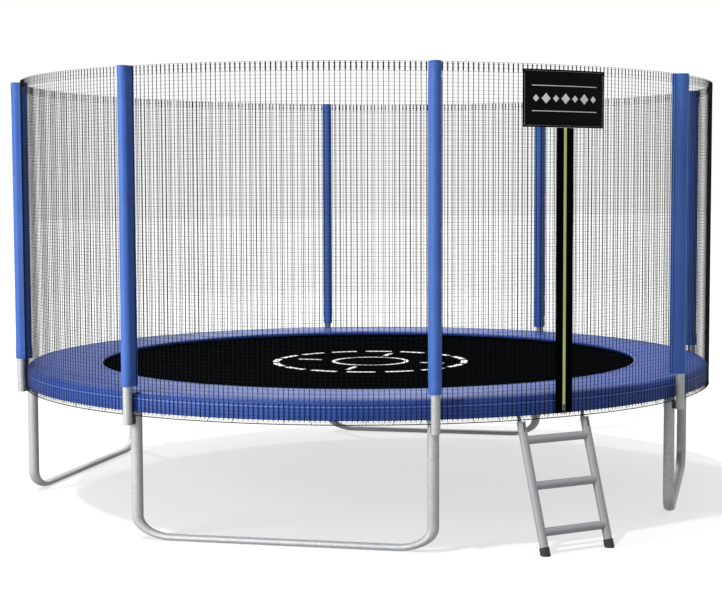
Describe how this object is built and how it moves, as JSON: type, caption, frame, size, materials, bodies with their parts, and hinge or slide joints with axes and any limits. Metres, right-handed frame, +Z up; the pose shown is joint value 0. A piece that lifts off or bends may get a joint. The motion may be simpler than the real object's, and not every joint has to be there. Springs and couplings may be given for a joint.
{
  "type": "garden trampoline with net enclosure",
  "caption": "Round sprung trampoline on U-shaped tube legs, with padded poles, a zipped net enclosure and a hooked-on ladder.",
  "frame": {"origin": "on the ground, under the middle of the bounding box; the ring's own centre is 120.9 mm towards +Y", "axes": "+Z up; -Y points out of the entrance, where the ladder hangs; +X to the right seen from the entrance"},
  "size_m": [4.4078, 4.6497, 2.578],
  "materials": {
    "galvanised_steel": "zinc-coated round tube, soft sheen",
    "black_plastic": "moulded, fine grain",
    "zinc_steel": "zinc-plated",
    "sleeve_foam": "blue coated cloth over closed-cell foam, satin",
    "net_mesh": "knitted polyethylene net, matt",
    "black_webbing": "woven webbing and cord, matt",
    "lime_tape": "pale lime woven zip tape",
    "dark_metal": "dark die-cast, semi-gloss",
    "sign_vinyl": "coated cloth, plain",
    "mat_fabric": "tight woven polypropylene, slight sheen",
    "pad_cover": "blue vinyl-coated cloth over foam, satin",
    "ladder_steel": "grey powder coat",
    "black_rubber": "moulded cap"
  },
  "bodies": {
    "frame": {"top_rail_1": "galvanised_steel", "top_rail_2": "galvanised_steel", "top_rail_3": "galvanised_steel", "top_rail_4": "galvanised_steel", "top_rail_5": "galvanised_steel", "top_rail_6": "galvanised_steel", "top_rail_7": "galvanised_steel", "top_rail_8": "galvanised_steel", "rail_sockets": "galvanised_steel", "leg_1": "galvanised_steel", "leg_2": "galvanised_steel", "leg_3": "galvanised_steel", "leg_4": "galvanised_steel", "lower_pole_1": "galvanised_steel", "lower_pole_2": "galvanised_steel", "lower_pole_3": "galvanised_steel", "lower_pole_4": "galvanised_steel", "lower_pole_5": "galvanised_steel", "lower_pole_6": "galvanised_steel", "lower_pole_7": "galvanised_steel", "lower_pole_8": "galvanised_steel", "pole_saddles": "black_plastic", "pole_bolts": "zinc_steel", "upper_poles": "galvanised_steel", "pole_plugs": "black_plastic", "pole_sleeve_1": "sleeve_foam", "pole_sleeve_2": "sleeve_foam", "pole_sleeve_3": "sleeve_foam", "pole_sleeve_4": "sleeve_foam", "pole_sleeve_5": "sleeve_foam", "pole_sleeve_6": "sleeve_foam", "pole_sleeve_7": "sleeve_foam", "pole_sleeve_8": "sleeve_foam", "net_panel_1": "net_mesh", "net_panel_2": "net_mesh", "net_panel_3": "net_mesh", "net_panel_4": "net_mesh", "net_panel_5": "net_mesh", "net_panel_6": "net_mesh", "net_panel_7": "net_mesh", "net_panel_8": "net_mesh", "net_top_band": "black_webbing", "net_lacing": "black_webbing", "entrance_strip": "black_webbing", "zip_tape": "lime_tape", "sign_panel": "sign_vinyl", "springs": "zinc_steel", "safety_pad": "pad_cover"},
    "mat": {"jump_mat": "mat_fabric", "mat_hem": "black_webbing", "mat_rings": "zinc_steel"},
    "ladder": {"ladder_rail_left": "ladder_steel", "ladder_rail_right": "ladder_steel", "rung_1": "ladder_steel", "rung_2": "ladder_steel", "rung_3": "ladder_steel", "ladder_foot_left": "black_rubber", "ladder_foot_right": "black_rubber", "ladder_hooks": "ladder_steel"},
    "zip": {"zip_slider": "dark_metal"}
  },
  "joints": [
    {"name": "mat_bounce", "type": "slide", "parent": "frame", "child": "mat", "axis": [0, 0, 1], "range_m": [-0.35, 0], "stiffness_N_per_m": 4500, "springref_m": 0.05, "deforming": ["springs"]},
    {"name": "ladder_swing", "type": "hinge", "parent": "frame", "child": "ladder", "pos_m": [-0.04509, -2.03193, 0.768], "axis": [-0.9998, 0.0209, 0], "range_deg": [0, 12]},
    {"name": "zip_slide", "type": "slide", "parent": "frame", "child": "zip", "axis": [0, 0, 1], "range_m": [0, 1.47]}
  ]
}
